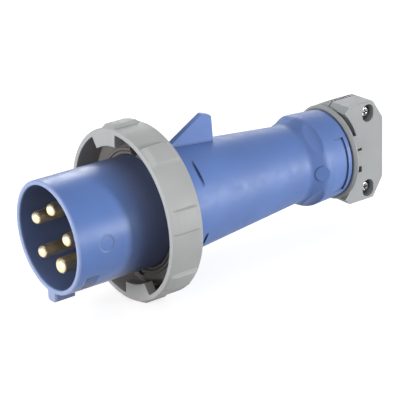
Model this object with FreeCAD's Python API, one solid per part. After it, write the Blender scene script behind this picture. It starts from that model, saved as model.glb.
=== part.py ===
import FreeCAD, Part
import math
import os
from FreeCAD import Vector

# Industrial pin and sleeve plug, three phases, neutral and earth, 63 A size, with a bayonet coupling ring.
# Millimetres. The plug lies along X: the sleeve's rim is the plane x = 0 and the cord leaves towards +X.
# +Z is up, through the lid catch. Clock angles are read facing the pins, 0 at the top and 90 at -Y.

# Sleeve
sleeve_r = 35.3          # outer radius of the sleeve
sleeve_wall = 3.0
sleeve_depth = 58.0      # from the rim to the face of the contact carrier
rim_round = 0.9
key_wide = 8.0           # locating key at 6 o'clock
key_high = 5.6
key_long = 14.0
key_round = 1.6
mark_r = 5.0             # shallow disc left by the mould
mark_deep = 0.3
mark_x = 19.6
mark_clock = 86.0
notch_x = 6.6            # sloped pocket beside the key
notch_long = 9.5
notch_flat = 2.5         # length of its flat floor
notch_deep = 2.3
notch_clock = 136.0
notch_degrees = 32.0
flange_set = 9.6         # from the carrier's face back to the flange
flange_reach = 12.2      # how far the flange stands out beyond the sleeve
flange_thick = 4.0
flange_round = 0.8
spigot_wall = 1.8        # tail of the sleeve, between the carrier and the body

# Contacts
phase_r = 4.0            # 8 mm pins
earth_r = 5.0            # 10 mm earth pin
pin_inset = 14.3         # from the sleeve's bore in to the circle of the pins
tip_x = 1.2              # how far the tips lie behind the rim
tip_dome = 3.0           # height of the domed tip
shank_step = 0.6         # the pin's shank in the carrier is this much thicker
first_clock = 6.0
pin_names = ("l1", "l2", "earth", "l3", "neutral")
barrel_r = 7.3           # terminal barrel behind the carrier
barrel_long = 22.0
barrel_round = 1.0
wire_r = 5.0
wire_deep = 16.0
screw_r = 2.5            # terminal screw thread
screw_bite = 3.0         # how far the screw reaches into the wire hole
screw_head_r = 3.8
screw_head_high = 3.0
screw_head_gap = 0.4
screw_slot = 1.0

# Contact carrier
carrier_step = 0.8       # its seat is this much wider than the sleeve's bore
carrier_thick = 20.0
carrier_tail = 6.0
tail_step = 3.2
carrier_round = 0.8

# Face gasket, housing screws and body seal
gasket_thick = 2.5
gasket_reach = 11.5      # how far it reaches beyond the sleeve
ridge_gap = 0.6          # from the sleeve to the inner ridge
ridge_wide = 1.4
ridge_high = 0.8
ridge_pitch = 2.3
house_screws = 4
house_screw_r = 2.5
house_head_r = 3.7
house_head_high = 3.0
house_end_cover = 1.0    # plastic left behind the screws' ends
recess_reach = 0.6       # cross recess of every screw, as a share of its head's radius and height
recess_slim = 0.22       # half width of its bars, as a share of their reach
lip_wide = 1.0           # raised lip of the gasket round each screw
lip_high = 0.5
seal_thick = 1.2
seal_inset = 0.6

# Coupling ring
ring_cover = 15.5        # how far it reaches in front of the flange
ring_room = 3.7          # between the flange's edge and the ring's wall
ring_wall = 3.3
ring_front_round = 1.0
ring_back_round = 2.0
web_thick = 3.0
pad_count = 8
pad_clock = -11.0        # turns the pads as in the photograph
pad_rise = 2.0
pad_degrees = 16.0
pad_slope = 4.4          # length of the slope at the front of each pad
pad_long = 18.5
pad_ramp = 2.5
pad_round = 1.4
ring_clock = -16.0       # turns the lugs as in the photograph
lug_count = 2
lug_degrees = 29.5
lug_high = 7.8           # how far the lugs reach in from the wall
lug_thick = 6.0
lug_round = 0.8
ramp_count = 4
ramp_degrees = 24.0
ramp_wide = 3.4
ramp_high = 3.0
ramp_round = 0.5

# Body: hub, shoulder, tapered handle, waist and bulge
hub_wall = 8.0           # wall of the hub inside the coupling ring
shoulder_reach = 3.0     # how far the shoulder stands out beyond the hub
shoulder_thick = 4.5
neck_round = 5.0         # between the shoulder and the handle
handle_over = 2.7        # the handle's front is this much wider than the carrier
handle_long = 101.5      # from the shoulder to the waist
waist_r = 25.8
waist_round = 6.0
bulge_set = 9.5          # from the waist to the bulge
bulge_rise = 5.0
bulge_round = 8.0
tail_long = 22.5         # from the bulge to the end of the body
tail_drop = 1.5
tail_wall = 3.2
body_wall = 3.2
bore_round = 12.0
stop_long = 6.0          # ledge that holds the carrier
stop_step = 1.2
edge_round = 0.8
scoop_r = 13.0           # thumb scoops on the front of the bulge
scoop_deep = 3.5
scoop_set = 7.0          # how far in front of the bulge they are centred
scoop_clocks = (42.0, 138.0, 222.0, 318.0)
scoop_fade = 38.0        # larger makes each scoop longer round the bulge
slit_set = 12.6          # four sickle-shaped slits behind the ring
slit_wide = 2.3
slit_deep = 1.5
slit_clocks = (45.0, 128.0, 232.0, 315.0)
disc_r = 4.9             # flat disc on the slope of the bulge
disc_rise = 0.35
disc_along = 0.7         # where it lies on the slope, as a share of the way up
side_clock = 90.0        # the disc and the panel face -Y
panel_long = 12.0        # bare sunk panel in front of the rear lip
panel_lip = 3.4
panel_deep = 1.2
panel_degrees = 76.0

# Lid catch
fin_thick = 4.2
fin_set = 8.5            # from the shoulder to the foot of the blade
fin_long = 33.0
fin_top_long = 6.5       # length of the blunt top
fin_rise = 15.2          # above the handle's front
fin_drop = 2.2           # the top slopes down this much to the rear
fin_round = 2.6
fin_bite = 2.0           # how far the blade's foot is sunk in the handle

# Cord entry: grommet, washer, collar and clamp
entry_r = 13.0           # bore of the grommet
gland_deep = 21.5        # depth of the seat in the body's tail
grommet_long = 15.0
grommet_step = 1.5
grommet_ribs = 3
rib_groove = 1.2
washer_thick = 2.5
washer_step = 1.0
collar_over = 1.2        # the collar's front stands this much out beyond the tail
collar_flare = 2.3       # and its rear this much more
collar_thick = 3.2
collar_bore = 19.0
collar_round = 0.9
clamp_half_wide = 17.0   # from the parting plane to the flat side face
clamp_half_high = 33.8
clamp_long = 33.2
clamp_round = 1.5
corner_back = 8.4        # chamfer of the rear corners, along X
corner_down = 13.0       # and along Z
front_chamfer = 4.2      # of the front corners
far_flat = 3.5           # the far half's top is flat this far from the parting plane
far_drop = 6.7           # and then slopes down this much to its side face
clamp_travel = 2.5       # how far each half opens
saddle_r = 17.0
rib_count = 3
rib_rise = 0.8
rib_wide = 1.6
scallop_r = 44.0         # round cut behind the collar
scallop_set = 12.2
scallop_deep = 8.0
tongue_high = 13.0       # half height of the guide tongue
tongue_thick = 4.0
tongue_long = 1.6
latch_z = -5.0           # middle of the bracket-shaped slit in the side face
latch_high = 8.5         # its half height
latch_set = 10.2
latch_long = 4.8         # length of its two arms
latch_slit = 1.1
latch_head = 1.8         # height of the upper arm
latch_foot = 4.2         # and of the lower one
latch_deep = 2.0
cross_set = 12.8         # clamp screws, from the rear face
cross_in = 7.5           # and from the top and bottom faces
cross_r = 2.0
cross_head_r = 3.7
cross_head_high = 3.0
cross_seat = 6.0         # depth of the seat below the side face
cross_long = 22.5
oval_wide = 9.6
oval_high = 12.0
nut_flat = 7.0
nut_thick = 3.2
nut_depth = 7.0          # how deep the nut lies below the far face
grip_count = 7
grip_pitch = 2.4
grip_deep = 0.7
grip_long = 3.2
grip_set = 5.0

# Clearances and cutting room
slack = 0.3              # between pieces that only lie together
run_gap = 0.4            # coupling ring on its hub
side_gap = 0.5           # coupling ring beside its web
thread_gap = 0.05
hole_gap = 0.25
past = 1.0               # how far a cutter runs past the face that it opens

# Sizes that follow
sleeve_bore = sleeve_r - sleeve_wall
pin_circle_r = sleeve_bore - pin_inset
carrier_r = sleeve_bore + carrier_step
carrier_front = sleeve_depth + slack
carrier_back = sleeve_depth + carrier_thick
barrel_x = carrier_back + carrier_tail + slack
flange_x = sleeve_depth + flange_set
flange_back = flange_x + flange_thick
flange_r = sleeve_r + flange_reach
spigot_r = carrier_r + slack + spigot_wall
gasket_r = sleeve_r + gasket_reach
hub_bore = spigot_r + slack
hub_r = hub_bore + hub_wall
hub_x = flange_back + seal_thick
house_circle_r = (hub_bore + hub_r) / 2
house_seat_x = flange_x + house_head_high / 2
web_x = flange_back + side_gap
ring_back = web_x + web_thick
ring_front = flange_x - ring_cover
web_bore = hub_r + run_gap
ring_bore = flange_r + ring_room
ring_r = ring_bore + ring_wall
lug_reach_r = ring_bore - lug_high
ledge_x = ring_back + side_gap
shoulder_r = hub_r + shoulder_reach
handle_x = ledge_x + shoulder_thick
handle_front_r = carrier_r + handle_over
house_end = handle_x - house_end_cover
waist_x = handle_x + handle_long
taper = (handle_front_r - waist_r) / handle_long
bulge_x = waist_x + bulge_set
bulge_r = waist_r + bulge_rise
tail_x = bulge_x + tail_long
tail_r = bulge_r - tail_drop
gland_r = tail_r - tail_wall
gland_x = tail_x - gland_deep
grommet_x = gland_x + slack
washer_x = grommet_x + grommet_long
spigot_x = washer_x + washer_thick
collar_r = tail_r + collar_over
collar_x = tail_x + slack
collar_back = collar_x + collar_thick
collar_rear_r = collar_r + collar_flare
clamp_front = collar_back + slack
clamp_end = clamp_front + clamp_long
cross_x = clamp_end - cross_set
cross_z = clamp_half_high - cross_in
nut_y = clamp_half_wide - nut_depth - nut_thick


def in_turn(u, v):
    return Vector(u, 0, v)


def corner(before, here, after, radius):
    """Start, middle and end of the arc that rounds one corner of an outline."""
    a = (before - here).normalize()
    b = (after - here).normalize()
    half = a.getAngle(b) / 2
    reach = radius / math.tan(half)
    middle = here + (a + b).normalize() * (radius / math.sin(half) - radius)
    return here + a * reach, middle, here + b * reach


def outline(corners, place):
    """Closed face through (u, v, rounding) corners, laid in space by place(u, v)."""
    points = [place(u, v) for u, v, radius in corners]
    spans = []
    for i, (u, v, radius) in enumerate(corners):
        if radius:
            after = points[(i + 1) % len(points)]
            spans.append(corner(points[i - 1], points[i], after, radius))
        else:
            spans.append((points[i], None, points[i]))
    edges = []
    for i, (start, middle, end) in enumerate(spans):
        last = spans[i - 1][2]
        if last.distanceToPoint(start) > 1e-6:
            edges.append(Part.makeLine(last, start))
        if middle:
            edges.append(Part.Arc(start, middle, end).toShape())
    return Part.Face(Part.Wire(edges))


def turned(corners, degrees=360.0):
    """Solid of revolution about the plug's axis from (x, radius, rounding) corners."""
    return outline(corners, in_turn).revolve(Vector(0, 0, 0), Vector(1, 0, 0), degrees)


def tube(x0, x1, inner, outer):
    return turned([(x0, inner, 0), (x1, inner, 0), (x1, outer, 0), (x0, outer, 0)])


def disc(x0, x1, radius, y=0.0, z=0.0):
    return Part.makeCylinder(radius, x1 - x0, Vector(x0, y, z), Vector(1, 0, 0))


def at_clock(shape, clock):
    """Copy of a shape made at 12 o'clock, turned about the axis to a clock angle."""
    copy = shape.copy()
    copy.rotate(Vector(0, 0, 0), Vector(1, 0, 0), clock)
    return copy


def sector(corners, clock, degrees):
    """Part of a turned solid, centred on a clock angle."""
    return at_clock(turned(corners, degrees), clock - degrees / 2)


def box(x0, x1, y0, y1, z0, z1):
    return Part.makeBox(x1 - x0, y1 - y0, z1 - z0, Vector(x0, y0, z0))


def across(radius, y0, y1, x, z):
    """Round bar along Y."""
    return Part.makeCylinder(radius, y1 - y0, Vector(x, y0, z), Vector(0, 1, 0))


def side_plate(corners, y0, y1):
    """Plate with an outline in X and Z, between two planes across Y."""
    return outline(corners, lambda u, v: Vector(u, y0, v)).extrude(Vector(0, y1 - y0, 0))


def mirrored_side(shape):
    return shape.mirror(Vector(0, 0, 0), Vector(0, 1, 0))


def spoke(radius, low, high, x):
    """Round bar along +Z at a place on the axis, from one height to another."""
    return Part.makeCylinder(radius, high - low, Vector(x, 0, low), Vector(0, 0, 1))


def house_clocks():
    return [360.0 / house_screws * i for i in range(house_screws)]


def make_key():
    half = key_wide / 2
    low = sleeve_r + key_high
    root = sleeve_r - sleeve_wall / 2
    corners = [(-half, -root, 0), (half, -root, 0), (half, -low, key_round),
               (-half, -low, key_round)]
    return outline(corners, lambda u, v: Vector(0, u, v)).extrude(Vector(key_long, 0, 0))


def make_notch():
    """Cutter for the pocket beside the key: a flat floor at the front and a slope up to the rear."""
    floor = sleeve_r - notch_deep
    top = sleeve_r + past
    return sector([(notch_x, top, 0), (notch_x, floor, 0), (notch_x + notch_flat, floor, 0),
                   (notch_x + notch_long, sleeve_r, 0), (notch_x + notch_long, top, 0)],
                  notch_clock, notch_degrees)


def make_sleeve():
    inner_step = carrier_r + slack
    end = carrier_back
    body = turned([
        (0, sleeve_bore, rim_round), (0, sleeve_r, rim_round),
        (flange_x, sleeve_r, 0), (flange_x, flange_r, flange_round),
        (flange_back, flange_r, flange_round),
        (flange_back, spigot_r, 0), (end, spigot_r, 0),
        (end, inner_step, 0), (sleeve_depth, inner_step, 0), (sleeve_depth, sleeve_bore, 0)])
    body = body.fuse(make_key()).cut(make_notch())
    mark = at_clock(spoke(mark_r, sleeve_bore, sleeve_r + past, mark_x), mark_clock)
    body = body.cut(mark.cut(disc(0, flange_x, sleeve_r - mark_deep)))
    for clock in house_clocks():
        seat = disc(flange_x - past, house_seat_x, house_head_r + slack, 0, house_circle_r)
        hole = disc(flange_x - past, flange_back + past, house_screw_r + slack, 0, house_circle_r)
        body = body.cut(at_clock(seat.fuse(hole), clock))
    return body.removeSplitter()


def pin_clock(index):
    return first_clock + 360.0 / len(pin_names) * index


def pin_radius(name):
    return earth_r if name == "earth" else phase_r


def terminal_x():
    return barrel_x + barrel_long - wire_deep / 2


def make_pin(index):
    """Domed pin, a thicker shank in the carrier and a terminal barrel with a wire hole."""
    radius = pin_radius(pin_names[index])
    shank = radius + shank_step
    shape = turned([(tip_x, 0, 0), (tip_x, radius, tip_dome), (carrier_front, radius, 0),
                    (carrier_front, shank, 0), (barrel_x, shank, 0), (barrel_x, 0, 0)])
    end = barrel_x + barrel_long
    barrel = turned([(barrel_x, 0, 0), (barrel_x, barrel_r, barrel_round),
                     (end, barrel_r, barrel_round), (end, 0, 0)])
    wire = disc(end - wire_deep, end + past, wire_r)
    shape = shape.fuse(barrel).cut(wire)
    shape = shape.cut(spoke(screw_r + thread_gap, 0, barrel_r + past, terminal_x()))
    shape.translate(Vector(0, 0, pin_circle_r))
    return at_clock(shape.removeSplitter(), pin_clock(index))


def make_terminal_screw(index):
    foot = pin_circle_r + wire_r - screw_bite
    seat = pin_circle_r + barrel_r + screw_head_gap
    top = seat + screw_head_high
    shape = spoke(screw_r, foot, seat, terminal_x()).fuse(spoke(screw_head_r, seat, top, terminal_x()))
    half = screw_slot / 2
    reach = screw_head_r + past
    foot = top - screw_head_high / 2
    slot = box(terminal_x() - half, terminal_x() + half, -reach, reach, foot, top + past)
    return at_clock(shape.cut(slot), pin_clock(index))


def make_carrier():
    tail_r = carrier_r - tail_step
    end = carrier_back + carrier_tail
    shape = turned([
        (carrier_front, 0, 0), (carrier_front, carrier_r, carrier_round),
        (carrier_back, carrier_r, carrier_round),
        (carrier_back, tail_r, 0), (end, tail_r, carrier_round), (end, 0, 0)])
    for index, name in enumerate(pin_names):
        hole = disc(sleeve_depth, barrel_x, pin_radius(name) + shank_step + thread_gap, 0, pin_circle_r)
        shape = shape.cut(at_clock(hole, pin_clock(index)))
    return shape


def make_face_gasket():
    """Flat rubber ring with a raised lip at each screw and two ridges round the sleeve."""
    front = flange_x - gasket_thick
    bore = sleeve_r + slack
    hole_r = house_head_r + slack
    shape = tube(front, flange_x, bore, gasket_r)
    for i in range(2):
        inner = sleeve_r + ridge_gap + ridge_pitch * i
        shape = shape.fuse(tube(front - ridge_high, flange_x, inner, inner + ridge_wide))
    for clock in house_clocks():
        lip = disc(front - lip_high, flange_x, hole_r + lip_wide, 0, house_circle_r)
        shape = shape.fuse(at_clock(lip, clock))
    shape = shape.cut(disc(front - ridge_high - past, flange_x + past, bore))
    for clock in house_clocks():
        hole = disc(front - ridge_high - past, flange_x + past, hole_r, 0, house_circle_r)
        shape = shape.cut(at_clock(hole, clock))
    return shape.removeSplitter()


def cross_cut(head_x, radius, deep):
    """Cutter for a cross recess, two bars, in a head that faces -X on the axis."""
    arm = radius * recess_reach
    half = arm * recess_slim
    upright = box(head_x - past, head_x + deep, -half, half, -arm, arm)
    return upright.fuse(box(head_x - past, head_x + deep, -arm, arm, -half, half))


def make_screw(seat_x, head_r, head_high, thread_r, length):
    """Pan-head screw along +X, its head's seat at seat_x."""
    top = seat_x - head_high
    shape = turned([(top, 0, 0), (top, head_r, head_high / 2), (seat_x, head_r, 0),
                    (seat_x, thread_r, 0), (seat_x + length, thread_r, thread_r / 3),
                    (seat_x + length, 0, 0)])
    return shape.cut(cross_cut(top, head_r, head_high * recess_reach))


def make_house_screw(index):
    length = house_end - house_seat_x
    shape = make_screw(house_seat_x, house_head_r, house_head_high, house_screw_r, length)
    shape.translate(Vector(0, 0, house_circle_r))
    return at_clock(shape, house_clocks()[index])


def make_housing_seal():
    shape = tube(flange_back, hub_x, hub_bore, hub_r - seal_inset)
    for clock in house_clocks():
        hole = disc(flange_back - past, hub_x + past, house_screw_r + slack, 0, house_circle_r)
        shape = shape.cut(at_clock(hole, clock))
    return shape


def make_grip_pad(clock):
    """Raised pad on the rim of the coupling ring, with a slope at its front and its rear."""
    top = ring_r + pad_rise
    root = ring_r - ring_wall / 2
    back = ring_front + pad_long
    return sector([(ring_front + edge_round, root, 0), (ring_front + edge_round, ring_r, 0),
                   (ring_front + pad_slope, top, pad_round), (back, top, pad_round),
                   (back + pad_ramp, root, 0)], clock, pad_degrees)


def make_lug(clock):
    """Bayonet lug that reaches in from the mouth of the coupling ring."""
    back = ring_front + lug_thick
    root = ring_bore + ring_wall / 4
    return sector([(ring_front, lug_reach_r, lug_round), (ring_front, root, 0), (back, root, 0),
                   (back, lug_reach_r, lug_round)], clock, lug_degrees)


def make_ramp(clock):
    """Low ramp inside the coupling ring, against its web."""
    low = ring_bore - ramp_wide
    root = ring_bore + ring_wall / 4
    front = web_x - ramp_high
    inside = web_x + web_thick / 3
    return sector([(front, low, ramp_round), (inside, low, 0), (inside, root, 0), (front, root, 0)],
                  clock, ramp_degrees)


def make_coupling_ring():
    shape = turned([
        (ring_front, ring_bore, edge_round), (ring_front, ring_r, ring_front_round),
        (ring_back, ring_r, ring_back_round), (ring_back, web_bore, edge_round),
        (web_x, web_bore, edge_round), (web_x, ring_bore, ring_front_round)])
    for i in range(pad_count):
        shape = shape.fuse(make_grip_pad(pad_clock + 360.0 / pad_count * i))
    for i in range(lug_count):
        shape = shape.fuse(make_lug(ring_clock + 360.0 / lug_count * i))
    for i in range(ramp_count):
        shape = shape.fuse(make_ramp(ring_clock + 360.0 / ramp_count * (i + 0.5)))
    return shape.removeSplitter()


def handle_r(x):
    """Outer radius of the straight taper at a place along the plug."""
    return handle_front_r - taper * (x - handle_x)


def make_shell():
    """Body as a turned shell: hub, shoulder, handle, bulge and tail outside, and the bore inside."""
    stop_r = carrier_r - stop_step
    stop_front = carrier_back + slack
    stop_back = stop_front + stop_long
    bore_end = waist_r - body_wall
    return turned([
        (hub_x, hub_bore, 0), (hub_x, hub_r, seal_inset), (ledge_x, hub_r, 0),
        (ledge_x, shoulder_r, edge_round), (handle_x, shoulder_r, edge_round),
        (handle_x, handle_front_r, neck_round), (waist_x, waist_r, waist_round),
        (bulge_x, bulge_r, bulge_round), (tail_x, tail_r, edge_round), (tail_x, gland_r, edge_round),
        (gland_x, gland_r, 0), (gland_x, bore_end, 0), (waist_x, bore_end, bore_round),
        (stop_back, handle_r(stop_back) - body_wall, 0), (stop_back, stop_r, 0),
        (stop_front, stop_r, 0), (stop_front, hub_bore, 0)])


def make_scoop(clock):
    """Cutter for one thumb scoop: a wide ring set off the axis, so that its cut fades out at both ends."""
    deepest = bulge_r - scoop_deep
    middle = Vector(bulge_x - scoop_set, 0, -scoop_fade)
    ring = Part.makeTorus(deepest + scoop_r + scoop_fade, scoop_r, middle, Vector(1, 0, 0))
    return at_clock(ring, clock)


def make_slit(clock):
    low = handle_r(handle_x + slit_set) - slit_deep
    x = handle_x + slit_set
    return at_clock(box(x, x + slit_wide, -low, low, low, low + shoulder_r), clock)


def make_disc():
    """Flat disc lying on the slope between the waist and the bulge."""
    x = waist_x + bulge_set * disc_along
    slope = math.atan2(bulge_rise, bulge_set)
    centre = Vector(x, 0, waist_r + bulge_rise * disc_along)
    outwards = Vector(-math.sin(slope), 0, math.cos(slope))
    foot = centre - outwards * body_wall / 2
    bar = Part.makeCylinder(disc_r, body_wall / 2 + disc_rise, foot, outwards)
    return at_clock(bar, side_clock)


def make_panel():
    """Cutter for the sunk panel: no depth at its front, and a step at its rear lip."""
    back = tail_x - panel_lip
    front = back - panel_long
    top = bulge_r + past
    slope = tail_drop / tail_long
    return sector([(front, top, 0), (front, tail_r + slope * (tail_x - front), 0),
                   (back, tail_r + slope * panel_lip - panel_deep, 0), (back, top, 0)],
                  side_clock, panel_degrees)


def make_fin():
    """Lid catch: a thin sloped blade with a rounded tip, standing on the handle."""
    foot = handle_x + fin_set
    back = foot + fin_long
    high = handle_front_r + fin_rise
    half = fin_thick / 2
    return side_plate([
        (foot, handle_r(foot) - fin_bite, 0), (foot, handle_r(foot) + past / 2, 0),
        (back - fin_top_long, high, fin_round), (back, high - fin_drop, fin_round),
        (back + past, handle_r(back) - fin_bite, 0)], -half, half)


def make_body():
    core = make_shell().fuse(make_fin())
    for clock in house_clocks():
        bore = disc(hub_x - past, house_end + slack, house_screw_r + thread_gap, 0, house_circle_r)
        core = core.cut(at_clock(bore, clock))
    for clock in slit_clocks:
        core = core.cut(make_slit(clock))
    for clock in scoop_clocks:
        core = core.cut(make_scoop(clock))
    return core.fuse(make_disc()).cut(make_panel()).removeSplitter()


def make_grommet():
    """Rubber bush that seals on the cord, with grooves in its bore."""
    end = grommet_x + grommet_long
    outer = gland_r - slack
    neck = grommet_x + grommet_long / grommet_ribs
    shape = turned([(grommet_x, entry_r, 0), (grommet_x, outer - grommet_step, edge_round),
                    (neck, outer, edge_round), (end, outer, 0), (end, entry_r, 0)])
    for i in range(grommet_ribs):
        x = grommet_x + grommet_long * (i + 1) / (grommet_ribs + 1)
        shape = shape.cut(tube(x, x + rib_groove, entry_r - past, entry_r + rib_groove))
    return shape


def make_washer():
    return tube(washer_x, spigot_x, entry_r + washer_step, gland_r - slack)


def make_collar():
    """Ring that closes the body's tail and guides the two clamp halves."""
    spigot = gland_r - slack
    shape = turned([
        (spigot_x, collar_bore, edge_round), (spigot_x, spigot, edge_round), (collar_x, spigot, 0),
        (collar_x, collar_r, edge_round), (collar_back, collar_rear_r, collar_round),
        (collar_back, collar_bore, edge_round)])
    pocket_back = clamp_half_wide + clamp_travel + slack
    pocket_front = clamp_half_wide - tongue_thick - slack
    high = tongue_high + slack
    front = collar_back - tongue_long - slack
    pocket = box(front, collar_back + past, pocket_front, pocket_back, -high, high)
    return shape.cut(pocket).cut(mirrored_side(pocket))


def cross_places():
    return (("top", cross_z), ("bottom", -cross_z))


def cut_saddle(shape):
    """The saddle's round seat, which meets the cord when the halves are closed, and its ribs."""
    side = -clamp_half_wide
    top = clamp_half_high
    shape = shape.cut(disc(clamp_front - past, clamp_end + past, saddle_r, clamp_travel))
    pitch = clamp_long / (rib_count + 1)
    for i in range(rib_count):
        x = clamp_front + pitch * (i + 1)
        bar = tube(x - rib_wide / 2, x + rib_wide / 2, saddle_r - rib_rise, saddle_r + rib_rise)
        bar.translate(Vector(0, clamp_travel, 0))
        shape = shape.fuse(bar.common(box(x - rib_wide, x + rib_wide, side, -slack, -top, top)))
    return shape


def make_latch():
    """Cutter for the bracket-shaped slit, open to the rear, in the near side face."""
    x = clamp_front + latch_set
    front = -clamp_half_wide - past
    back = latch_deep - clamp_half_wide
    low = latch_z - latch_high
    high = latch_z + latch_high
    slit = box(x, x + latch_slit, front, back, low, high)
    head = box(x, x + latch_long, front, back, high - latch_head, high)
    foot = box(x, x + latch_long, front, back, low, low + latch_foot)
    return slit.fuse(head).fuse(foot)


def make_half():
    """Near clamp half with its outside at -Y; the far half starts as its mirror image."""
    side = -clamp_half_wide
    top = clamp_half_high
    shoulder = top - front_chamfer
    shape = side_plate([
        (clamp_front, -shoulder, edge_round), (clamp_front, shoulder, edge_round),
        (clamp_front + front_chamfer, top, edge_round), (clamp_end - corner_back, top, edge_round),
        (clamp_end, top - corner_down, clamp_round), (clamp_end, corner_down - top, clamp_round),
        (clamp_end - corner_back, -top, edge_round), (clamp_front + front_chamfer, -top, edge_round)],
        side, -slack)
    shape = cut_saddle(shape)
    centre = clamp_front + scallop_set - scallop_r
    scallop = across(scallop_r, side - past, side + scallop_deep, centre, 0)
    bridge = box(centre, clamp_end, side - 2 * past, 0, -tongue_high, tongue_high)
    shape = shape.cut(scallop.cut(bridge))
    tongue = box(clamp_front - slack - tongue_long, clamp_front + tongue_long, side,
                 side + tongue_thick, -tongue_high, tongue_high)
    shape = shape.fuse(tongue)
    return shape.cut(make_latch())


def make_near_half():
    shape = make_half()
    side = -clamp_half_wide
    stretch = (oval_high - oval_wide) / 2
    for name, z in cross_places():
        hole = across(cross_r + hole_gap, side - past, past, cross_x, z)
        oval = box(cross_x - oval_wide / 2, cross_x + oval_wide / 2, side - past, side + cross_seat,
                   z - stretch, z + stretch)
        for end in (z - stretch, z + stretch):
            oval = oval.fuse(across(oval_wide / 2, side - past, side + cross_seat, cross_x, end))
        shape = shape.cut(hole).cut(oval)
    return shape.removeSplitter()


def hexagon(flats, y0, y1, z):
    """Six-sided prism along Y round a clamp screw."""
    reach = flats / math.sqrt(3)
    points = []
    for i in range(7):
        turn = math.radians(60 * i)
        points.append(Vector(cross_x + reach * math.cos(turn), y0, z + reach * math.sin(turn)))
    return Part.Face(Part.makePolygon(points)).extrude(Vector(0, y1 - y0, 0))


def make_slope():
    """Cutter that slopes the far half's top down towards its side face."""
    top = clamp_half_high
    side = clamp_half_wide
    corners = [(far_flat, top, 0), (side, top - far_drop, 0), (side + past, top - far_drop, 0),
               (side + past, top + past, 0), (far_flat, top + past, 0)]
    wedge = outline(corners, lambda u, v: Vector(clamp_front - past, u, v))
    return wedge.extrude(Vector(clamp_long + 2 * past, 0, 0))


def make_far_half():
    slope = make_slope()
    under = slope.mirror(Vector(0, 0, 0), Vector(0, 0, 1))
    shape = mirrored_side(make_half()).cut(slope).cut(under)
    for name, z in cross_places():
        hole = across(cross_r + 2 * hole_gap, -past, clamp_half_wide + past, cross_x, z)
        pocket = hexagon(nut_flat + slack, nut_y, clamp_half_wide + past, z)
        shape = shape.cut(hole).cut(pocket)
    for i in range(grip_count):
        x = clamp_front + grip_set + grip_pitch * i
        top = clamp_half_high
        groove = box(x, x + grip_pitch / 2, 0, grip_long, top - grip_deep, top + past)
        shape = shape.cut(groove)
    return shape.removeSplitter()


def make_clamp_screw(z):
    shape = make_screw(0, cross_head_r, cross_head_high, cross_r, cross_long)
    shape.rotate(Vector(0, 0, 0), Vector(0, 0, 1), 90)
    shape.translate(Vector(cross_x, cross_seat - clamp_half_wide, z))
    return shape


def make_clamp_nut(z):
    nut = hexagon(nut_flat, nut_y, nut_y + nut_thick, z)
    return nut.cut(across(cross_r + thread_gap, 0, clamp_half_wide, cross_x, z))


def export(shape, name):
    """Write one sub-part, after checking that it is a single sound solid."""
    if len(shape.Solids) != 1 or not shape.isValid():
        raise ValueError(name + " is not one sound solid: " + str(len(shape.Solids)))
    shape.Solids[0].exportStep("parts/" + name + ".step")
    print(name, round(shape.Volume / 1000, 2), "cm3", len(shape.Faces), "faces")


def main():
    os.makedirs("parts", exist_ok=True)
    export(make_sleeve(), "sleeve")
    export(make_carrier(), "contact_carrier")
    for index, name in enumerate(pin_names):
        export(make_pin(index), "pin_" + name)
        export(make_terminal_screw(index), "terminal_screw_" + name)
    export(make_face_gasket(), "face_gasket")
    for index in range(house_screws):
        export(make_house_screw(index), "housing_screw_" + str(index + 1))
    export(make_housing_seal(), "housing_seal")
    export(make_coupling_ring(), "coupling_ring")
    export(make_body(), "rear_body")
    export(make_grommet(), "cord_grommet")
    export(make_washer(), "gland_washer")
    export(make_collar(), "clamp_collar")
    export(make_near_half(), "clamp_half_near")
    export(make_far_half(), "clamp_half_far")
    for name, z in cross_places():
        export(make_clamp_screw(z), "clamp_screw_" + name)
        export(make_clamp_nut(z), "clamp_nut_" + name)


main()
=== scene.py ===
# %% [markdown]
# # A pin and sleeve plug for heavy current
# This lesson dresses a plug that was drawn as solids: a blue sleeve with five brass pins, a gray bayonet
# ring, a tapered handle and a cord clamp. The solids give the sizes. Blender gives the finish of each
# piece, the small forms that solids leave out, and the light.

# %% Load the fixed frame
import math
import bmesh
import bpy
from mathutils import Matrix, Vector


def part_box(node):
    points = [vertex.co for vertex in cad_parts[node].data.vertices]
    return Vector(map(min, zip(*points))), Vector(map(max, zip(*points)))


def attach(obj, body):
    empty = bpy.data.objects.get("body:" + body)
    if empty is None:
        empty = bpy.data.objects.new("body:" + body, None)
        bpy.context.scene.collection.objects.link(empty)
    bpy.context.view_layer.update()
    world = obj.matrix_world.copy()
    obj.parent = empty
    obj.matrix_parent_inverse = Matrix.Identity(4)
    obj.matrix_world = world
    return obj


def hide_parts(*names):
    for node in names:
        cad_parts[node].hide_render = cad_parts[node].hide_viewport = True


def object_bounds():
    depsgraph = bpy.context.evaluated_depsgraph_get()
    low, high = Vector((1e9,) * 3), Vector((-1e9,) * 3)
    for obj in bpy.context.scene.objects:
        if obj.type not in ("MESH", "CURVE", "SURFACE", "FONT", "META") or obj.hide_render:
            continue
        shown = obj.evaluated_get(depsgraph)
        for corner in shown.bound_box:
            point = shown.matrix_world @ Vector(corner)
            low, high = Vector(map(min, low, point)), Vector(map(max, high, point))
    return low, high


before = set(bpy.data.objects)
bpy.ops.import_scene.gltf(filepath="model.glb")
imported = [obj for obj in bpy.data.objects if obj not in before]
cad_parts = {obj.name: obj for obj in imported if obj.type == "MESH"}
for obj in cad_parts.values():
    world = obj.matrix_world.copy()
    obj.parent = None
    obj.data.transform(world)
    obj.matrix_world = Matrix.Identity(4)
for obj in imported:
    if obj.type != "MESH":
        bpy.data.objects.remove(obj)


def box_now():
    """Lowest and highest corner of all that shows, as plain numbers in metres."""
    return [[float(v) for v in corner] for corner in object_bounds()]


solid_box = box_now()
print("box of the solids", solid_box)

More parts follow.
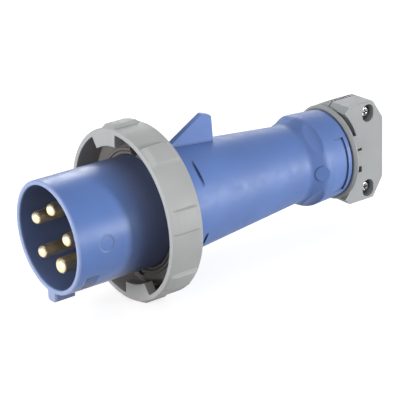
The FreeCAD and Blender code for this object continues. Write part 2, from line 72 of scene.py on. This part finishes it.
# %% [markdown]
# ## Camera
# The photograph was taken with a long lens from the front left, a little above the plug, and the camera
# was turned slightly about its own line of sight. A camera could be aimed with a constraint, but a matrix
# built from three angles says exactly where it looks and stays put in every other view.

# %% Camera at the photograph's angle
mm = 0.001
camera_place = Vector((-429.5, -759.6, 369.0)) * mm
azimuth, elevation, roll = (math.radians(v) for v in (-35.48, 21.9, -2.53))
focal_mm, sensor_mm, nearest = 144.0, 36.0, 10.0 * mm

ahead = Vector((-math.sin(azimuth) * math.cos(elevation),
                math.cos(azimuth) * math.cos(elevation), -math.sin(elevation)))
level = Vector((math.cos(azimuth), math.sin(azimuth), 0.0))
upward = level.cross(ahead)
side = math.cos(roll) * level + math.sin(roll) * upward
crown = math.cos(roll) * upward - math.sin(roll) * level

lens = bpy.data.cameras.new("studio_camera")
lens.lens = focal_mm
lens.sensor_width = sensor_mm
lens.clip_start = nearest
camera = bpy.data.objects.new("studio_camera", lens)
turn = Matrix((side, crown, -ahead)).transposed().to_4x4()
camera.matrix_world = Matrix.Translation(camera_place) @ turn
bpy.context.collection.objects.link(camera)
bpy.context.scene.camera = camera
print("camera looks along", [round(v, 3) for v in ahead])

# %% [markdown]
# ## Floor, world and lamps
# A catalogue photograph has a white ground and wide, soft light. A small lamp low on the right draws the
# bright line along the handle and the sleeve, and throws the coupling ring's shadow forward onto the
# sleeve. Wide panels behind, above and on both sides of the camera fill the rest. A strong panel ahead of
# the pins lights the rim, the pin tips and the ring's face. The floor could be plain white, but it would
# throw back so much light that the plug's underside turned pale. So it is white for the camera and in
# reflections, and gray for all other light. The white is part paint and part glow, so that the floor
# still shows the plug's shadow.

# %% Floor that is white for the camera
floor_z = solid_box[0][2]
floor_half = 6.0
white_paint, white_glow, gray_paint = 0.5, 0.72, 0.24
floor_mesh = bpy.data.meshes.new("studio_floor")
floor_mesh.from_pydata([(-floor_half, -floor_half, floor_z), (floor_half, -floor_half, floor_z),
                        (floor_half, floor_half, floor_z), (-floor_half, floor_half, floor_z)],
                       [], [(0, 1, 2, 3)])
studio_floor = bpy.data.objects.new("studio_floor", floor_mesh)
bpy.context.collection.objects.link(studio_floor)

paper = bpy.data.materials.new("white_paper")
paper.use_nodes = True
tree = paper.node_tree
tree.nodes.clear()
rays = tree.nodes.new("ShaderNodeLightPath")
dull = tree.nodes.new("ShaderNodeBsdfDiffuse")
dull.inputs["Color"].default_value = (gray_paint, gray_paint, gray_paint, 1)
seen = tree.nodes.new("ShaderNodeBsdfDiffuse")
seen.inputs["Color"].default_value = (white_paint, white_paint, white_paint, 1)
glow = tree.nodes.new("ShaderNodeEmission")
glow.inputs["Strength"].default_value = white_glow
both = tree.nodes.new("ShaderNodeAddShader")
pick = tree.nodes.new("ShaderNodeMixShader")
out = tree.nodes.new("ShaderNodeOutputMaterial")
tree.links.new(seen.outputs[0], both.inputs[0])
tree.links.new(glow.outputs[0], both.inputs[1])
shows = rays.outputs["Is Camera Ray"]
for ray in ("Is Transmission Ray", "Is Glossy Ray"):
    either = tree.nodes.new("ShaderNodeMath")
    either.operation = "MAXIMUM"
    tree.links.new(shows, either.inputs[0])
    tree.links.new(rays.outputs[ray], either.inputs[1])
    shows = either.outputs[0]
tree.links.new(shows, pick.inputs[0])
tree.links.new(dull.outputs[0], pick.inputs[1])
tree.links.new(both.outputs[0], pick.inputs[2])
tree.links.new(pick.outputs[0], out.inputs["Surface"])
floor_mesh.materials.append(paper)
print("floor at", round(floor_z, 4))

# %% World and lamps
sky_colour, sky_strength = (0.95, 0.97, 1.0, 1), 0.34
world = bpy.data.worlds.new("studio")
bpy.context.scene.world = world
world.use_nodes = True
sky = world.node_tree.nodes["Background"]
sky.inputs["Color"].default_value = sky_colour
sky.inputs["Strength"].default_value = sky_strength
bpy.context.scene.view_settings.view_transform = "Standard"

plug_centre = Vector((0.11, 0.0, 0.0))


def lamp(name, direction, distance, size, watts):
    """Square area lamp that shines at the plug from a direction."""
    data = bpy.data.lights.new(name, "AREA")
    data.shape = "SQUARE"
    data.size = size
    data.energy = watts
    obj = bpy.data.objects.new(name, data)
    place = plug_centre + Vector(direction).normalized() * distance
    obj.location = place
    obj.rotation_euler = (plug_centre - place).to_track_quat("-Z", "Y").to_euler()
    bpy.context.collection.objects.link(obj)
    print(name, "at", [round(v, 2) for v in place], "watts", watts)


lamp("back_panel", (0.50, 0.76, 0.40), 1.6, 0.6, 10.0)
lamp("top_panel", (-0.05, -0.10, 1.0), 1.8, 0.9, 6.0)
lamp("side_lamp", (0.62, -0.78, 0.06), 1.6, 0.20, 18.0)
lamp("near_panel", (0.45, -0.87, 0.14), 1.5, 0.7, 4.0)
lamp("left_panel", (-0.70, -0.65, 0.30), 1.8, 0.8, 5.5)
lamp("front_panel", (-0.96, 0.08, 0.15), 1.7, 0.8, 32.0)

# %% [markdown]
# ## Finishes
# Every piece is moulded plastic, rubber, brass or steel. Each finish could be one flat colour, and would
# look like a toy. A real moulding has a fine spark-eroded grain, a slow drift of colour from its flow
# through the mould and edges that are worn paler, and shade is painted darker into its hollows. The grain
# is a bump from noise, the drift is a wide noise on the colour, and the edges are found where a softened
# normal leaves the true one. Ambient occlusion finds the hollows for the painted shade, and it does so
# from the shape alone, so the painted shade stays in place from every side. The pair shaded_to_lit says
# how open a spot is where the painted shade is full, and how open where it ends. Inside the sleeve and
# under the ring the painted shade is thick and dark. It stands for the coupling ring's shadow on the
# sleeve and the dim inside of the sleeve, and inside the ring's bore it is a warm dark gray. The rim of
# the sleeve meets every socket, so it is scuffed paler over its first two millimetres.

# %% A new finish and its noises
samples = 6


def new_finish(name):
    """Material with a Principled shader, and a helper that adds linked nodes."""
    finish = bpy.data.materials.new("finish_" + name)
    finish.use_nodes = True
    nodes, links = finish.node_tree.nodes, finish.node_tree.links

    def add(kind, settings=None, **wires):
        node = nodes.new(kind)
        for key, value in (settings or {}).items():
            if key in node.inputs:
                node.inputs[key].default_value = value
            else:
                setattr(node, key, value)
        for key, source in wires.items():
            links.new(source, node.inputs[key.replace("_", " ")])
        return node

    return finish, nodes["Principled BSDF"], add, links


def noise(add, place, scale, detail, distort=0.0):
    settings = {"Scale": scale, "Detail": detail, "Distortion": distort}
    return add("ShaderNodeTexNoise", settings, Vector=place).outputs["Fac"]


def ramp(add, source, low, high, dark, light):
    """Map a value between low and high to a value between dark and light."""
    ends = {"From Min": low, "From Max": high, "To Min": dark, "To Max": light}
    return add("ShaderNodeMapRange", ends, Value=source).outputs[0]


def multiply(add, first, second):
    """Multiply a colour, given or wired, by a wired value."""
    node = add("ShaderNodeMix", {"data_type": "RGBA", "blend_type": "MULTIPLY"}, B=second)
    node.inputs["Factor"].default_value = 1.0
    if isinstance(first, tuple):
        node.inputs["A"].default_value = (*first, 1)
    else:
        node.id_data.links.new(first, node.inputs["A"])
    return node.outputs["Result"]


# %% Moulded plastic and rubber
drift_scale, smear_scale, grain_scale = 28.0, 160.0, 1400.0
edge_from, edge_to = 0.99, 0.80
# The first factor darkens the colour in hollows as painted shade; the second pales the scuffed rim.
corner_shade_factor, scuff_wear = 0.35, 0.45


def moulded(name, colour, rough, grain=0.00002, edge=0.0004, wear=0.35, spec=0.35, painted_shade=None,
            reach=0.0018, shaded_to_lit=(0.45, 0.95), scuffed=None):
    """Moulded plastic or rubber: grain, drift of colour, painted shade in the hollows and paler edges."""
    finish, shader, add, links = new_finish(name)
    place = add("ShaderNodeTexCoord").outputs["Object"]
    soft = add("ShaderNodeBevel", {"samples": samples, "Radius": edge}).outputs[0]
    true = add("ShaderNodeNewGeometry").outputs["Normal"]
    alike = add("ShaderNodeVectorMath", {"operation": "DOT_PRODUCT"})
    links.new(soft, alike.inputs[0])
    links.new(true, alike.inputs[1])
    worn = ramp(add, alike.outputs["Value"], edge_from, edge_to, 0.0, wear)
    if scuffed:
        along = add("ShaderNodeSeparateXYZ", Vector=place).outputs["X"]
        most = add("ShaderNodeMath", {"operation": "MAXIMUM"})
        links.new(worn, most.inputs[0])
        links.new(ramp(add, along, *scuffed, scuff_wear, 0.0), most.inputs[1])
        worn = most.outputs[0]

    # Painted shade: where ambient occlusion finds a hollow, the colour is mixed towards a darker one,
    # standing for the shade that falls there.
    hidden = add("ShaderNodeAmbientOcclusion", {"samples": samples, "Distance": reach}).outputs["AO"]
    unshaded = ramp(add, hidden, *shaded_to_lit, 0.0, 1.0)
    shade_painted = add("ShaderNodeMix", {"data_type": "RGBA"}, Factor=unshaded)
    shade_painted.inputs["A"].default_value = (*(painted_shade or [corner_shade_factor * v for v in colour]), 1)
    shade_painted.inputs["B"].default_value = (*colour, 1)
    drift = ramp(add, noise(add, place, drift_scale, 2.0), 0.3, 0.7, 0.92, 1.08)
    drifted = multiply(add, shade_painted.outputs["Result"], drift)
    paler = add("ShaderNodeMix", {"data_type": "RGBA"}, Factor=worn, A=drifted)
    paler.inputs["B"].default_value = (*[0.35 + 0.65 * v for v in colour], 1)
    links.new(paler.outputs["Result"], shader.inputs["Base Color"])

    smear = ramp(add, noise(add, place, smear_scale, 5.0, 0.6), 0.3, 0.7, rough - 0.05, rough + 0.06)
    links.new(smear, shader.inputs["Roughness"])
    height = noise(add, place, grain_scale, 4.0)
    bump = add("ShaderNodeBump", {"Strength": 0.5, "Distance": grain}, Height=height, Normal=soft)
    links.new(bump.outputs[0], shader.inputs["Normal"])
    shader.inputs["Specular IOR Level"].default_value = spec
    return finish


# %% Turned metal
tarnish_scale, tarnish_tint = 120.0, 0.08
mark_depth, metal_edge = 0.00001, 0.0003


def machined(name, colour, rough, marks):
    """Turned metal: tool marks spaced along the plug's axis, slow tarnish and softened edges."""
    finish, shader, add, links = new_finish(name)
    place = add("ShaderNodeTexCoord").outputs["Object"]
    tarnish = noise(add, place, tarnish_scale, 5.0, 0.4)
    tint = ramp(add, tarnish, 0.3, 0.7, 1.0 - tarnish_tint, 1.0 + tarnish_tint)
    links.new(multiply(add, colour, tint), shader.inputs["Base Color"])
    shader.inputs["Metallic"].default_value = 1.0
    links.new(ramp(add, tarnish, 0.3, 0.7, rough - 0.04, rough + 0.08), shader.inputs["Roughness"])
    waves = {"Scale": marks, "Distortion": 1.5, "Detail": 2.0, "Detail Scale": 3.0}
    height = add("ShaderNodeTexWave", waves, Vector=place).outputs["Fac"]
    soft = add("ShaderNodeBevel", {"samples": samples, "Radius": metal_edge}).outputs[0]
    bump = add("ShaderNodeBump", {"Strength": 0.4, "Distance": mark_depth}, Height=height, Normal=soft)
    links.new(bump.outputs[0], shader.inputs["Normal"])
    return finish


# %% The finishes of this plug
blue = (0.098, 0.178, 0.435)
# Painted shade colours: the sleeve's stands for the coupling ring's shadow on it and for its dark inside,
# the ring's for the warm shade inside its bore.
sleeve_shade_colour = (0.090, 0.112, 0.205)
ring_shade_colour = (0.27, 0.242, 0.228)
finishes = {
    "sleeve_blue": moulded("sleeve_blue", blue, 0.37, edge=0.0012, wear=0.8, painted_shade=sleeve_shade_colour,
                           reach=0.034, shaded_to_lit=(0.74, 0.88), scuffed=(0.0006, 0.0020)),
    "body_blue": moulded("body_blue", blue, 0.54, spec=0.55),
    "carrier_dark": moulded("carrier_dark", (0.020, 0.026, 0.060), 0.5),
    "ring_gray": moulded("ring_gray", (0.36, 0.368, 0.365), 0.56, wear=0.5, spec=0.3, painted_shade=ring_shade_colour,
                         reach=0.020, shaded_to_lit=(0.40, 0.72)),
    "clamp_gray": moulded("clamp_gray", (0.31, 0.32, 0.325), 0.52, wear=0.5),
    "gasket_rubber": moulded("gasket_rubber", (0.115, 0.104, 0.100), 0.68, grain=0.00005, wear=0.12),
    "contact_brass": machined("contact_brass", (0.96, 0.80, 0.52), 0.36, 900.0),
    "screw_steel": machined("screw_steel", (0.38, 0.38, 0.38), 0.20, 1400.0),
}
print("finishes", sorted(finishes))

# %% [markdown]
# ## Dressing the solids
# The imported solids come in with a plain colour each, named after the slot of their finish. The finish of
# the same name is put in its place, and the shape is left as it is.

# %% Give each solid its finish
for name, solid in sorted(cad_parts.items()):
    for slot in solid.material_slots:
        slot.material = finishes[slot.material.name.split(".")[0]]
    print(name, [slot.material.name for slot in solid.material_slots])

# %% [markdown]
# ## Coupling ring
# The gray ring turns on the body and locks the plug with two inner lugs. It is one moulded piece: a
# profile carried round the axis, whose outside rises at eight grip pads, whose mouth reaches in at the
# two lugs, and which has four low ramps inside. It could be cut from a cylinder with booleans, which
# leaves knife edges. Geometry Nodes can carry the profile round and let it swell by a soft rule, so that
# every pad runs out as in a mould. Where a wall is steep, its two ends are a hair's breadth apart.

# %% Profile of the ring, sizes in millimetres
bore, outer, web_bore = 51.2, 54.5, 43.9
web_thick, ramp_high, lug_thick = 3.0, 3.0, 6.0
pad_rise, lug_reach, ramp_reach = 2.0, 7.8, 3.4
pad_back, pad_ramp = 18.5, 2.5
lip_round, rim_round, back_round, web_round = 0.5, 0.9, 1.8, 0.7
ramp_round, lug_round, hair = 0.3, 0.4, 0.01


def ring_profile(front, back):
    """Points (x, radius, pad share, lug share, ramp share) once round the section, in millimetres."""
    web_x = back - web_thick
    ramp_x = web_x - ramp_high
    lug_back = front + lug_thick

    def arc(cx, cr, radius, start, end, steps=5):
        turns = [math.radians(start + (end - start) * i / steps) for i in range(steps + 1)]
        return [(cx + radius * math.cos(t), cr + radius * math.sin(t)) for t in turns]

    def plain(places):
        return [(x, r, 0.0, 0.0, 0.0) for x, r in places]

    lip = arc(front + lip_round, bore + lip_round, lip_round, 270, 180)
    points = [(x, r, 0.0, 1.0, 0.0) for x, r in lip]
    points += plain(arc(front + rim_round, outer - rim_round, rim_round, 180, 90))
    rise = [(rim_round, 0.0), (1.3, 0.04), (2.2, 0.30), (3.4, 0.72), (4.1, 0.93), (4.8, 0.99),
            (5.6, 1.0)]
    fall = [(pad_back - 5.0, 1.0), (pad_back - 0.6, 1.0), (pad_back, 0.94), (pad_back + 0.6, 0.76),
            (pad_back + 1.6, 0.30), (pad_back + 2.2, 0.06), (pad_back + pad_ramp, 0.0)]
    points += [(front + x, outer, share, 0.0, 0.0) for x, share in rise + fall]
    points += plain(arc(back - back_round, outer - back_round, back_round, 90, 0))
    points += plain(arc(back - web_round, web_bore + web_round, web_round, 0, -90))
    points += plain(arc(web_x + web_round, web_bore + web_round, web_round, -90, -180))
    points += plain([(web_x, bore - ramp_reach - 0.10), (web_x, bore - ramp_reach + 0.05)])
    points += [(web_x - 2 * hair, bore - ramp_round, 0.0, 0.0, 0.9),
               (ramp_x + ramp_round, bore, 0.0, 0.0, 1.0), (ramp_x, bore, 0.0, 0.0, 0.9)]
    points += plain([(ramp_x - hair, bore), (lug_back + hair, bore)])
    points += [(lug_back, bore, 0.0, 0.94, 0.0), (lug_back - lug_round, bore, 0.0, 1.0, 0.0)]
    return points


low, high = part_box("coupling_ring")
profile = ring_profile(low[0] / mm, high[0] / mm)
print("profile points", len(profile))

# %% Helpers for node trees
weld = 0.000001


def node_tools(tree):
    """Helpers that add a node and link values or sockets to its inputs in order."""
    def put(kind, *feeds, **settings):
        node = tree.nodes.new(kind)
        for key, value in settings.items():
            setattr(node, key, value)
        sockets = [s for s in node.inputs if s.enabled]
        for socket, feed in zip(sockets, feeds):
            if feed is None:
                continue
            if isinstance(feed, bpy.types.NodeSocket):
                tree.links.new(feed, socket)
            else:
                socket.default_value = feed
        return node

    def calc(operation, *feeds):
        return put("ShaderNodeMath", *feeds, operation=operation).outputs[0]

    return put, calc


# %% A tree that carries the profile round
def ring_tree():
    """Node tree whose inputs are the ring's profile, its counts and its sizes."""
    tree = bpy.data.node_groups.new("ring_by_rule", "GeometryNodeTree")
    face = tree.interface
    face.new_socket("Profile", in_out="INPUT", socket_type="NodeSocketGeometry")
    for name in ("Steps round", "Profile points", "Pads", "Lugs", "Ramps"):
        face.new_socket(name, in_out="INPUT", socket_type="NodeSocketInt")
    for name in ("Pad clock", "Pad degrees", "Pad rise", "Pad softness", "Lug clock", "Lug degrees",
                 "Lug reach", "Ramp degrees", "Ramp reach", "Edge softness"):
        face.new_socket(name, in_out="INPUT", socket_type="NodeSocketFloat")
    face.new_socket("Finish", in_out="INPUT", socket_type="NodeSocketMaterial")
    face.new_socket("Ring", in_out="OUTPUT", socket_type="NodeSocketGeometry")
    put, calc = node_tools(tree)
    given = tree.nodes.new("NodeGroupInput").outputs

    grid = put("GeometryNodeMeshGrid", 1.0, 1.0, calc("ADD", given["Steps round"], 1.0),
               calc("ADD", given["Profile points"], 1.0))
    spot = put("ShaderNodeSeparateXYZ", put("GeometryNodeInputPosition").outputs[0])
    turn = calc("MULTIPLY", calc("ADD", spot.outputs[0], 0.5), 360.0)
    count = calc("MULTIPLY", calc("ADD", spot.outputs[1], 0.5), given["Profile points"])
    step = calc("FLOORED_MODULO", calc("ROUND", count), given["Profile points"])

    def share_of(name):
        stored = put("GeometryNodeInputNamedAttribute", name, data_type="FLOAT")
        return put("GeometryNodeSampleIndex", given["Profile"], stored.outputs[0], step,
                   data_type="FLOAT", domain="POINT").outputs[0]

    place = put("GeometryNodeSampleIndex", given["Profile"], put("GeometryNodeInputPosition").outputs[0],
                step, data_type="FLOAT_VECTOR", domain="POINT")
    along = put("ShaderNodeSeparateXYZ", place.outputs[0])

    def swell(number, clock, degrees, softness):
        """1 inside a repeated sector and 0 outside it, with a soft edge."""
        pitch = calc("DIVIDE", 360.0, number)
        half = calc("MULTIPLY", pitch, 0.5)
        shifted = calc("ADD", calc("SUBTRACT", turn, clock), half)
        off = calc("ABSOLUTE", calc("SUBTRACT", calc("FLOORED_MODULO", shifted, pitch), half))
        edge = calc("MULTIPLY", degrees, 0.5)
        ease = put("ShaderNodeMapRange", off, calc("SUBTRACT", edge, softness), edge, 1.0, 0.0)
        ease.interpolation_type = "SMOOTHSTEP"
        return ease.outputs[0]

    pad = swell(given["Pads"], given["Pad clock"], given["Pad degrees"], given["Pad softness"])
    lug = swell(given["Lugs"], given["Lug clock"], given["Lug degrees"], given["Edge softness"])
    half_ramp = calc("DIVIDE", 180.0, given["Ramps"])
    ramp_at = calc("ADD", given["Lug clock"], half_ramp)
    slope = swell(given["Ramps"], ramp_at, given["Ramp degrees"], given["Edge softness"])
    rise = calc("MULTIPLY", calc("MULTIPLY", share_of("pad_share"), pad), given["Pad rise"])
    reach = calc("MULTIPLY", calc("MULTIPLY", share_of("lug_share"), lug), given["Lug reach"])
    dip = calc("MULTIPLY", calc("MULTIPLY", share_of("ramp_share"), slope), given["Ramp reach"])
    radius = calc("SUBTRACT", calc("SUBTRACT", calc("ADD", along.outputs[1], rise), reach), dip)
    radians = calc("RADIANS", turn)
    new_place = put("ShaderNodeCombineXYZ", along.outputs[0],
                    calc("MULTIPLY", calc("MULTIPLY", radius, calc("SINE", radians)), -1.0),
                    calc("MULTIPLY", radius, calc("COSINE", radians)))
    moved = put("GeometryNodeSetPosition", grid.outputs["Mesh"], None, new_place.outputs[0])
    closed = put("GeometryNodeMergeByDistance", moved.outputs[0])
    closed.inputs["Distance"].default_value = weld
    real = put("GeometryNodeRealizeInstances", closed.outputs[0])
    dressed = put("GeometryNodeSetMaterial", real.outputs[0], None, given["Finish"])
    tree.links.new(dressed.outputs[0], put("NodeGroupOutput").inputs[0])
    return tree


# %% Run a tree and keep its result as a mesh
def grow(name, start_mesh, tree, settings):
    """Run a node tree on a start mesh and return its result as a plain mesh object at the origin."""
    source = bpy.data.objects.new(name + "_start", start_mesh)
    bpy.context.collection.objects.link(source)
    nodes = source.modifiers.new("grow", "NODES")
    nodes.node_group = tree
    for item in tree.interface.items_tree:
        if item.item_type == "SOCKET" and item.in_out == "INPUT" and item.name in settings:
            nodes[item.identifier] = settings[item.name]
    depsgraph = bpy.context.evaluated_depsgraph_get()
    mesh = bpy.data.meshes.new_from_object(source.evaluated_get(depsgraph))
    source.modifiers.clear()
    bpy.data.objects.remove(source)
    mesh.name = name
    piece = bpy.data.objects.new(name, mesh)
    bpy.context.collection.objects.link(piece)
    return piece


def outward(piece, sharp_degrees):
    """Turn every face outwards and keep only the steep edges sharp."""
    work = bmesh.new()
    work.from_mesh(piece.data)
    bmesh.ops.recalc_face_normals(work, faces=work.faces)
    if work.calc_volume(signed=True) < 0:
        bmesh.ops.reverse_faces(work, faces=work.faces)
    print(piece.name, "faces", len(work.faces), "open edges", sum(not e.is_manifold for e in work.edges))
    work.to_mesh(piece.data)
    work.free()
    piece.data.shade_smooth()
    piece.data.set_sharp_from_angle(angle=math.radians(sharp_degrees))


# %% Make the ring
section = bpy.data.meshes.new("ring_section")
section.from_pydata([(x * mm, r * mm, 0.0) for x, r, *shares in profile], [], [])
for column, name in ((2, "pad_share"), (3, "lug_share"), (4, "ramp_share")):
    layer = section.attributes.new(name, "FLOAT", "POINT")
    layer.data.foreach_set("value", [point[column] for point in profile])
ring = grow("ring_by_rule", section, ring_tree(), {
    "Steps round": 720, "Profile points": len(profile), "Pads": 8, "Lugs": 2, "Ramps": 4,
    "Pad clock": -11.0, "Pad degrees": 16.0, "Pad rise": pad_rise * mm, "Pad softness": 1.4,
    "Lug clock": -16.0, "Lug degrees": 29.5, "Lug reach": lug_reach * mm, "Ramp degrees": 24.0,
    "Ramp reach": ramp_reach * mm, "Edge softness": 0.6, "Finish": finishes["ring_gray"]})
outward(ring, 35.0)
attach(ring, "coupling")
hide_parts("coupling_ring")

# %% [markdown]
# ## Threads of the clamp screws
# The two screws that pull the clamp halves together show their threads between the halves and past the
# nuts. A thread could be a bump on the shank, which leaves its outline straight. Geometry Nodes can wind
# one ridge as a helix and set a copy at each screw, so that pitch and depth stay the same on both.

# %% A tree that winds one thread and repeats it
def thread_tree():
    """Node tree that winds a ridge of three sides, with its crest outwards, at every screw place."""
    tree = bpy.data.node_groups.new("threads_by_rule", "GeometryNodeTree")
    face = tree.interface
    face.new_socket("Screw places", in_out="INPUT", socket_type="NodeSocketGeometry")
    for name in ("Root radius", "Ridge height", "Pitch", "Length"):
        face.new_socket(name, in_out="INPUT", socket_type="NodeSocketFloat")
    face.new_socket("Steps a turn", in_out="INPUT", socket_type="NodeSocketInt")
    face.new_socket("Finish", in_out="INPUT", socket_type="NodeSocketMaterial")
    face.new_socket("Threads", in_out="OUTPUT", socket_type="NodeSocketGeometry")
    put, calc = node_tools(tree)
    given = tree.nodes.new("NodeGroupInput").outputs

    turns = calc("DIVIDE", given["Length"], given["Pitch"])
    steps = calc("MULTIPLY", turns, given["Steps a turn"])
    grid = put("GeometryNodeMeshGrid", 1.0, 1.0, calc("ADD", steps, 1.0), 4)
    spot = put("ShaderNodeSeparateXYZ", put("GeometryNodeInputPosition").outputs[0])
    share = calc("ADD", spot.outputs[0], 0.5)
    angle = calc("MULTIPLY", calc("MULTIPLY", share, turns), math.tau)
    near_end = calc("MINIMUM", share, calc("SUBTRACT", 1.0, share))
    run_out = calc("MINIMUM", calc("MULTIPLY", calc("MULTIPLY", near_end, turns), 3.0), 1.0)
    corner = calc("MULTIPLY", calc("ADD", spot.outputs[1], 1.0 / 6.0), math.tau)
    top = calc("DIVIDE", calc("ADD", calc("COSINE", corner), 0.5), 1.5)
    high = calc("MULTIPLY", calc("MULTIPLY", top, run_out), given["Ridge height"])
    radius = calc("ADD", given["Root radius"], high)
    wide = calc("MULTIPLY", calc("SINE", corner), calc("MULTIPLY", given["Pitch"], 0.45))
    along = calc("ADD", calc("MULTIPLY", share, given["Length"]), calc("MULTIPLY", wide, run_out))
    helix = put("ShaderNodeCombineXYZ", calc("MULTIPLY", radius, calc("COSINE", angle)), along,
                calc("MULTIPLY", radius, calc("SINE", angle)))
    wound = put("GeometryNodeSetPosition", grid.outputs["Mesh"], None, helix.outputs[0])
    closed = put("GeometryNodeMergeByDistance", wound.outputs[0])
    closed.inputs["Distance"].default_value = weld
    copies = tree.nodes.new("GeometryNodeInstanceOnPoints")
    tree.links.new(given["Screw places"], copies.inputs["Points"])
    tree.links.new(closed.outputs[0], copies.inputs["Instance"])
    real = put("GeometryNodeRealizeInstances", copies.outputs[0])
    dressed = put("GeometryNodeSetMaterial", real.outputs[0], None, given["Finish"])
    tree.links.new(dressed.outputs[0], put("NodeGroupOutput").inputs[0])
    return tree


# %% Wind the threads
head_and_shank = 6.5


def screw_start(node):
    """Point on a clamp screw's axis where its thread starts, from its solid's box, in metres."""
    low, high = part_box(node)
    return ((low[0] + high[0]) / 2, low[1] + head_and_shank * mm, (low[2] + high[2]) / 2)


places = bpy.data.meshes.new("screw_places")
places.from_pydata([screw_start("clamp_screw_top"), screw_start("clamp_screw_bottom")], [], [])
threads = grow("clamp_threads", places, thread_tree(), {
    "Root radius": 1.93 * mm, "Ridge height": 0.11 * mm, "Pitch": 0.8 * mm, "Length": 18.0 * mm,
    "Steps a turn": 24, "Finish": finishes["screw_steel"]})
outward(threads, 60.0)
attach(threads, "clamp_near")
